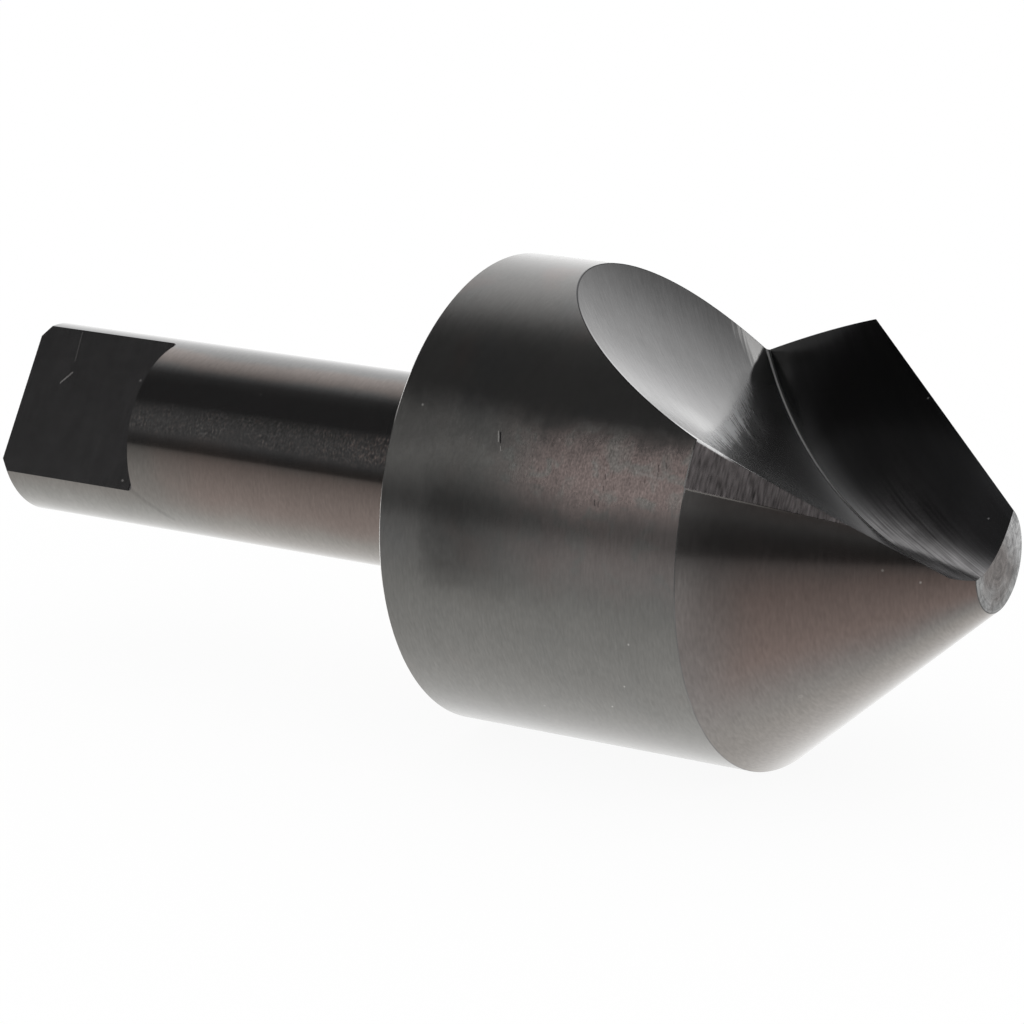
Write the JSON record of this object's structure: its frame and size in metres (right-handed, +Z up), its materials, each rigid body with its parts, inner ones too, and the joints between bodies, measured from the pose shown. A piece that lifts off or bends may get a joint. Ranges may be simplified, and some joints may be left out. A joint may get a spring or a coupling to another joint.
{
  "type": "countersink bit",
  "caption": "Solid steel countersink bit with an 82 degree cone, one helical flute and a straight shank with a drive flat.",
  "frame": {"origin": "on the tool's axis at the back face of the head, where the shank leaves it", "axes": "+X along the axis towards the cutting tip; +Z up, with the tool lying level on the round of its head and the flute uppermost; +Y completes the right-handed frame"},
  "size_m": [0.106, 0.0444, 0.0444],
  "materials": {
    "tool_steel": "dark ground tool steel, semi-gloss, with fine grinding marks round the axis and brighter ground flute"
  },
  "bodies": {
    "root": {"countersink_bit": "tool_steel"}
  },
  "joints": []
}
